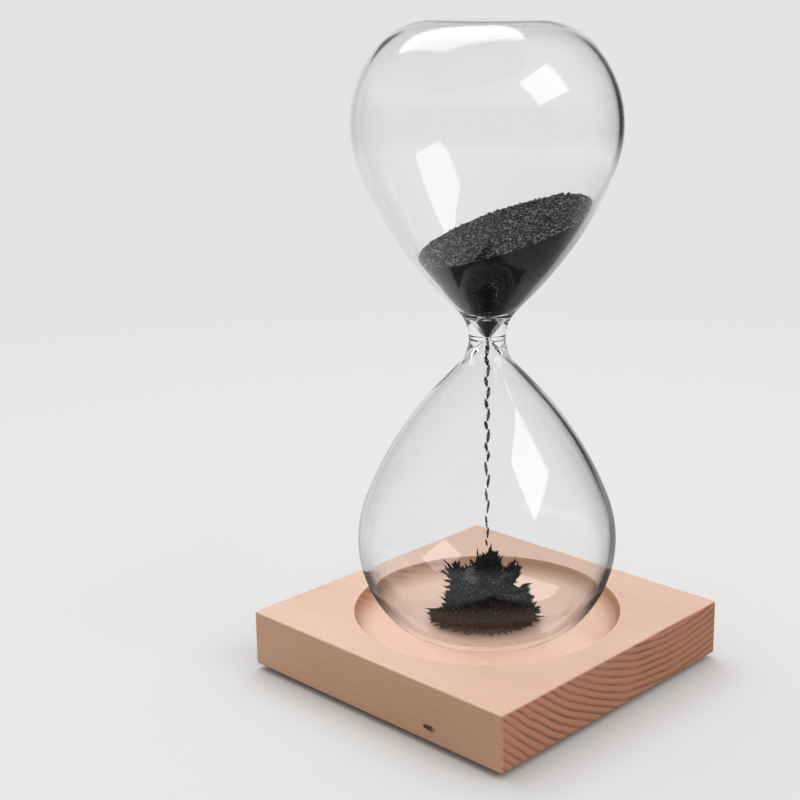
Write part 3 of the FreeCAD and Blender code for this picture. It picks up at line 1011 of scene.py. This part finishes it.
# ---------------------------------------------------------------- hidden base parts


def felt():
    """Pressed felt: matted fibres over a dark ground."""
    material, g, shader, _ = new_material("felt")
    place = g.node("ShaderNodeTexCoord").outputs["Object"]
    fibres = g.noise(g.scaled(place, (1400, 1400, 1400)), 1.0, 5.0, 0.7)
    clouds = g.noise(place, 260.0, 2.0)
    colour = g.mix(fibres, (0.02, 0.02, 0.022), (0.13, 0.13, 0.14))
    colour = g.mix(g.weighted(clouds, 0.5), colour, (0.03, 0.03, 0.032))
    rough = g.ramp(fibres, (0.2, 0.85), (0.8, 1.0))
    surface(g, shader, colour, rough, g.bump(fibres, 0.8, 0.3 * MM))
    shader.inputs["Sheen Weight"].default_value = 0.35
    return material


def rubber():
    """Moulded rubber with a faint bloom."""
    material, g, shader, _ = new_material("rubber")
    place = g.node("ShaderNodeTexCoord").outputs["Object"]
    mould = g.noise(place, 1800.0, 3.0)
    bloom = g.noise(place, 300.0, 2.0)
    colour = g.mix(bloom, (0.016, 0.016, 0.016), (0.045, 0.045, 0.043))
    rough = g.ramp(bloom, (0.3, 0.55), (0.7, 0.75))
    surface(g, shader, colour, rough, g.bump(mould, 0.3, 0.05 * MM))
    return material


def nickel():
    """Nickel plate over a sintered magnet: satin, with fine pits."""
    material, g, shader, _ = new_material("nickel")
    place = g.node("ShaderNodeTexCoord").outputs["Object"]
    pits = g.noise(place, 2500.0, 4.0)
    haze = g.noise(place, 400.0, 2.0)
    colour = g.mix(haze, (0.62, 0.60, 0.56), (0.74, 0.72, 0.68))
    rough = g.ramp(haze, (0.3, 0.22), (0.7, 0.38))
    surface(g, shader, colour, rough, g.bump(pits, 0.2, 0.04 * MM))
    shader.inputs["Metallic"].default_value = 1.0
    return material


def dress(node, material):
    """A CAD node keeps its shape and gets a finished material."""
    piece = NODES[node]
    piece.data.materials.clear()
    piece.data.materials.append(material)


# ---------------------------------------------------------------- stage, light, camera

# Greys of the surround and the floor, brightened by GLASS_GAIN where they are seen through
# glass. The MIRROR greys are a painted reflection: the floor's greys at its left and right, where
# glass mirrors it.
BACKDROP = 0.775
FLOOR_TONE = 0.60
FLOOR_RADIUS = 0.5
GLASS_GAIN = 1.08
MIRROR_LEFT, MIRROR_RIGHT = 0.50, 0.13
# Light that falls on the object from all round, and more of it from straight above.
AMBIENT, ZENITH = 0.32, 1.25
FLAG_GREY, CEILING_GREY = 0.06, 0.35

CAMERA_RISE = math.radians(14.0)
CAMERA_DISTANCE = 0.3516
TARGET_HEIGHT = 0.0795
FOCAL_LENGTH = 67.6
SHIFT = (-0.109, -0.0624)
LAMP_AIM = Vector((0, 0, 0.08))


def as_seen(right, front, up):
    """A direction made up of the viewer's right, toward the viewer, and up."""
    return RIGHTWARD * right + FORWARD * front + UPWARD * up


def floor_stage():
    """A pale round floor that fades into the backdrop."""
    material, g, shader, output = new_material("floor")
    place = g.node("ShaderNodeTexCoord").outputs["Object"]
    rays = g.node("ShaderNodeLightPath").outputs
    tone = g.mix(rays["Is Transmission Ray"], grey(FLOOR_TONE), grey(FLOOR_TONE * GLASS_GAIN))
    # Painted reflection: where glass mirrors the floor, it shows the darker MIRROR greys, darkest at
    # its right.
    mirrored = g.math("GREATER_THAN", rays["Glossy Depth"], 0.5)
    dark = g.remap(g.along(place, RIGHTWARD), (-0.09, 0.09), (MIRROR_LEFT, MIRROR_RIGHT))
    g.feed(shader.inputs["Base Color"], g.mix(mirrored, tone, dark))
    shader.inputs["Roughness"].default_value = 1.0
    shader.inputs["Specular IOR Level"].default_value = 0.0
    clear = g.node("ShaderNodeBsdfTransparent")
    fade = g.ramp(g.math("DIVIDE", g.length(place), FLOOR_RADIUS), (0.25, 0.0), (0.9, 1.0))
    g.feed(output.inputs["Surface"], g.blend(fade, shader, clear))
    bearings = [TURN * i / 96 for i in range(96)]
    rings = [round_ring(share * FLOOR_RADIUS, 0, bearings) for share in (0.2, 0.5, 1.0)]
    points, faces = rings_to_mesh(rings, (0, 0, 0), None)
    mesh_object("floor", points, turned_over(faces), material)


# How bright the room is all round, from straight behind the object round by its right,
# as (turn in degrees, brightness). Polished glass mirrors it.
ROOM = [(-180, 0.10), (-120, 0.12), (-90, 0.35), (-60, 0.60), (-28, 0.60), (-15, 0.80),
        (14, 0.80), (22, 0.06), (60, 0.06), (80, 0.25), (100, 0.15), (180, 0.10)]


def mirrored_room(g, direction, height):
    """What polished glass mirrors: the room, a dark flag before it, its ceiling and floor."""
    bearing = g.math("ARCTAN2", g.along(direction, RIGHTWARD), g.along(direction, -FORWARD))
    bearing = g.math("ADD", g.math("DIVIDE", bearing, TURN), 0.5)
    room = g.ramp(bearing, *[(0.5 + turn / 360, brightness) for turn, brightness in ROOM])
    beside = g.ramp(bearing, (0.424, 0.0), (0.429, 1.0), (0.456, 1.0), (0.461, 0.0))
    raised = g.ramp(height, (0.16, 0.0), (0.19, 1.0), (0.34, 1.0), (0.37, 0.0))
    room = g.mix(g.math("MULTIPLY", beside, raised), room, grey(FLAG_GREY))
    room = g.mix(g.ramp(height, (0.0, 0.0), (0.9, 0.9)), room, grey(CEILING_GREY))
    return g.mix(g.remap(height, (-0.12, -0.30), (0.0, 1.0)), room, grey(BACKDROP))


def world_light():
    """A plain pale surround that lights the object evenly, with a darker room to mirror."""
    world = bpy.data.worlds.new("studio")
    bpy.context.scene.world = world
    world.use_nodes = True
    world.cycles.sampling_method = "NONE"
    g = Graph(world.node_tree)
    rays = g.node("ShaderNodeLightPath").outputs
    direction = g.node("ShaderNodeTexCoord").outputs["Generated"]
    height = g.split(direction)[2]
    plain = g.mix(rays["Is Transmission Ray"], grey(BACKDROP), grey(BACKDROP * GLASS_GAIN))
    mirrored = g.math("GREATER_THAN", rays["Glossy Depth"], 0.5)
    tone = g.mix(mirrored, plain, mirrored_room(g, direction, height))
    upward = g.math("MAXIMUM", height, 0.0)
    overhead = g.weighted(g.math("MULTIPLY", upward, upward), ZENITH)
    lit = g.math("ADD", overhead, AMBIENT)
    backdrop = world.node_tree.nodes["Background"]
    g.feed(backdrop.inputs[0], g.mix(rays["Is Diffuse Ray"], tone, lit))


def softbox(name, direction, distance, width, height, brightness, roll=0.0):
    """A rectangular lamp of a given brightness, facing the object."""
    light = bpy.data.lights.new(name, "AREA")
    light.shape = "RECTANGLE"
    light.size, light.size_y = width, height
    light.energy = brightness * math.pi * width * height
    lamp = bpy.data.objects.new(name, light)
    lamp.location = LAMP_AIM + direction.normalized() * distance
    rolled = Matrix.Rotation(roll, 3, "Z").to_quaternion()
    lamp.rotation_mode = "QUATERNION"
    lamp.rotation_quaternion = direction.to_track_quat("Z", "Y") @ rolled
    bpy.context.scene.collection.objects.link(lamp)


def camera():
    """The viewer's camera, a little higher than the glass and looking down at its middle."""
    data = bpy.data.cameras.new("camera")
    data.lens = FOCAL_LENGTH
    data.sensor_width = 36
    data.shift_x, data.shift_y = SHIFT
    data.clip_start, data.clip_end = 0.01, 20
    eye = bpy.data.objects.new("camera", data)
    back = as_seen(0, math.cos(CAMERA_RISE), math.sin(CAMERA_RISE))
    eye.location = UPWARD * TARGET_HEIGHT + back * CAMERA_DISTANCE
    eye.rotation_mode = "QUATERNION"
    eye.rotation_quaternion = back.to_track_quat("Z", "Y")
    bpy.context.scene.collection.objects.link(eye)
    bpy.context.scene.camera = eye


# ---------------------------------------------------------------- build

beech_block(beech())
glass_vessel(clear_glass())
# One iron in three copies: the banked top has the most and palest painted glints, the spikes the
# fewest and dimmest.
BANK_IRON = iron("bank_iron", 0.003, 0.30, 0.38, 0.10)
SOFT_IRON = iron("soft_iron", 0.007, 0.110, 0.3, 0.28)
CONE_IRON = iron("cone_iron", 0.002, 0.080, 0.14, 0.12)
powder_charge(BANK_IRON)
throat_grains(CONE_IRON)
powder_stream(CONE_IRON)
iron_skirt(CONE_IRON)
iron_middle(SOFT_IRON)
iron_crown(CONE_IRON)
dress("magnet_cover", felt())
dress("base_magnet", nickel())
RUBBER = rubber()
for foot in sorted(n for n in NODES if n.startswith("foot_")):
    dress(foot, RUBBER)

floor_stage()
world_light()
softbox("key", as_seen(0.64, 0.37, 0.58), 3.0, 1.74, 1.3, 2.7, math.radians(12))
softbox("window", as_seen(-0.222, -0.4445, 0.879), 2.5, 2.3, 1.85, 2.0)
camera()
bpy.context.scene.view_settings.view_transform = "Standard"
